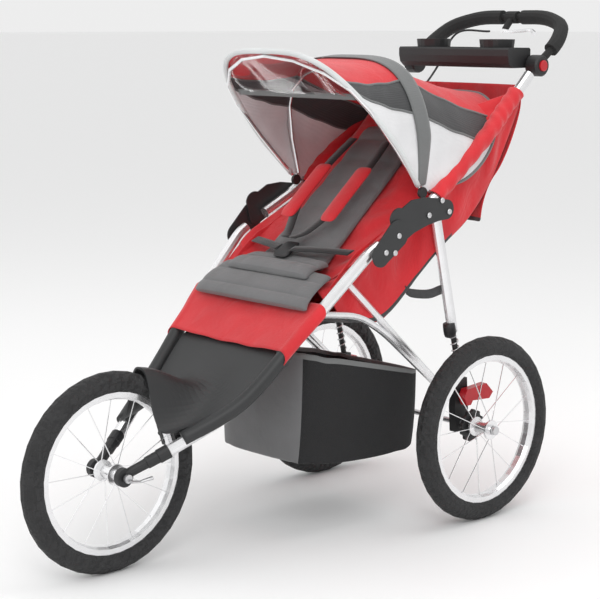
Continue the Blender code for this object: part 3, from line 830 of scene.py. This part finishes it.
def springs():
    """The coil spring under each rear leg, as a fixed coil; the real one shortens as the axle rises."""
    for side, _ in SIDES:
        low_corner, high_corner = (Vector(corner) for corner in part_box(f"spring_{side}"))
        x = (low_corner.x + high_corner.x) / 2
        reach = COIL_RADIUS + COIL_WIRE
        low = Vector((x, high_corner.y - reach, low_corner.z + reach * 0.25))
        high = Vector((x, low_corner.y + reach, high_corner.z - reach * 0.25))
        axis = (high - low).normalized()
        across = Vector((1, 0, 0))
        up = axis.cross(across)
        points = []
        for i in range(COIL_TURNS * TURN_STEPS + 1):
            turn = math.tau * i / TURN_STEPS
            ring = (across * math.cos(turn) + up * math.sin(turn)) * COIL_RADIUS
            points.append(low.lerp(high, i / (COIL_TURNS * TURN_STEPS)) + ring)
        obj = cord_tube(f"coil_spring_{side}", points, COIL_WIRE, "steel",
                        steps=COIL_TURNS * TURN_STEPS * 2, sides=8, reference=axis)
        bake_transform(obj)
        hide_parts(f"spring_{side}")


def brake_cable():
    """The cable that hangs from the brake lever to the top of the seat's back."""
    points = [at(-0.010, 0.300, 1.045), at(-0.090, 0.275, 1.040), at(-0.140, 0.262, 0.960),
              at(-0.120, 0.200, 0.920)]
    path = [spline_at(points, i / 60) for i in range(61)]
    length = sum((b - a).length for a, b in zip(path, path[1:]))
    obj = cord_tube("brake_cable", points, CABLE_RADIUS, "black", steps=60, sides=10, reference=(0, 1, 0.2))
    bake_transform(obj)
    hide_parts("brake_cable_upper")


def details():
    """The footrest's rolled edges, rivets, leg collars and a side strap."""
    for side, sign in SIDES:
        rail = [at(sign * 0.098, -0.700, 0.268), at(sign * 0.1300, -0.636, 0.303),
                at(sign * 0.150, -0.590, 0.334), at(sign * 0.1620, -0.545, 0.374),
                at(sign * 0.1735, -0.492, 0.427)]
        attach(cord_tube(f"footrest_rail_{side}", rail, 0.0150, "charcoal", sides=14), "front_frame")
        rivets("cover_rivet", side, sign, 0.2284, COVER_RIVETS, "front_frame")
        rivets("plate_rivet", side, sign, 0.2270, PLATE_RIVETS, "handle_frame")
        start = at(sign * 0.1825, -0.0365, 0.4260)
        lathe(f"leg_collar_{side}", start, (0, 0.211, -0.977), COLLAR, "black", "rear_legs", sides=28)
    strap = [at(0.176, -0.056, 0.500), at(0.172, -0.090, 0.494), at(0.166, -0.135, 0.500),
             at(0.162, -0.150, 0.508)]
    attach(ribbon("side_strap_left", strap, 0.020, (0, -0.2, 1), "band"), "rear_legs")


def rivets(name, side, sign, x, places, body):
    for i, (back, up) in enumerate(places):
        lathe(f"{name}_{i}_{side}", at(sign * x, back, up), (sign, 0, 0), DOME, "steel", body)


# Studio

FLOOR_SIZE, FLOOR_DROP = 300, -0.0005
# Each lamp: name, place, size, power in watts
LAMPS = (("key", (2.6, -2.6, 3.2), 2.0, 52), ("fill", (-3.0, -1.6, 2.0), 3.0, 10),
         ("top", (0.2, 0.6, 3.4), 2.6, 26))
LAMP_TARGET = Vector((0, 0, 0.5))
LENS, YAW, PITCH = 97.54, 47.69, 9.67


def studio():
    """A pale floor in an even white room, three soft lamps and the camera."""
    bpy.ops.mesh.primitive_plane_add(size=FLOOR_SIZE, location=(0, 0, FLOOR_DROP))
    floor = bpy.context.object
    floor.name = "floor"
    floor.data.materials.append(M["floor"])
    world = bpy.data.worlds.new("studio")
    bpy.context.scene.world = world
    world.use_nodes = True
    world.node_tree.nodes["Background"].inputs["Color"].default_value = (1, 1, 1, 1)
    world.node_tree.nodes["Background"].inputs["Strength"].default_value = 0.85
    for name, place, size, power in LAMPS:
        data = bpy.data.lights.new(name, "AREA")
        data.size = size
        data.energy = power
        lamp = bpy.data.objects.new(name, data)
        lamp.location = place
        lamp.rotation_euler = (LAMP_TARGET - Vector(place)).to_track_quat("-Z", "Y").to_euler()
        bpy.context.scene.collection.objects.link(lamp)
    camera = bpy.data.objects.new("camera", bpy.data.cameras.new("camera"))
    camera.data.lens = LENS
    camera.location = at(2.518, -2.596, 1.065)
    camera.rotation_euler = (math.radians(90 - PITCH), 0, math.radians(YAW))
    bpy.context.scene.collection.objects.link(camera)
    bpy.context.scene.camera = camera
    bpy.context.scene.view_settings.view_transform = "Standard"


studio()
dress_frame()
canopy()
seat()
basket()
details()
springs()
brake_cable()
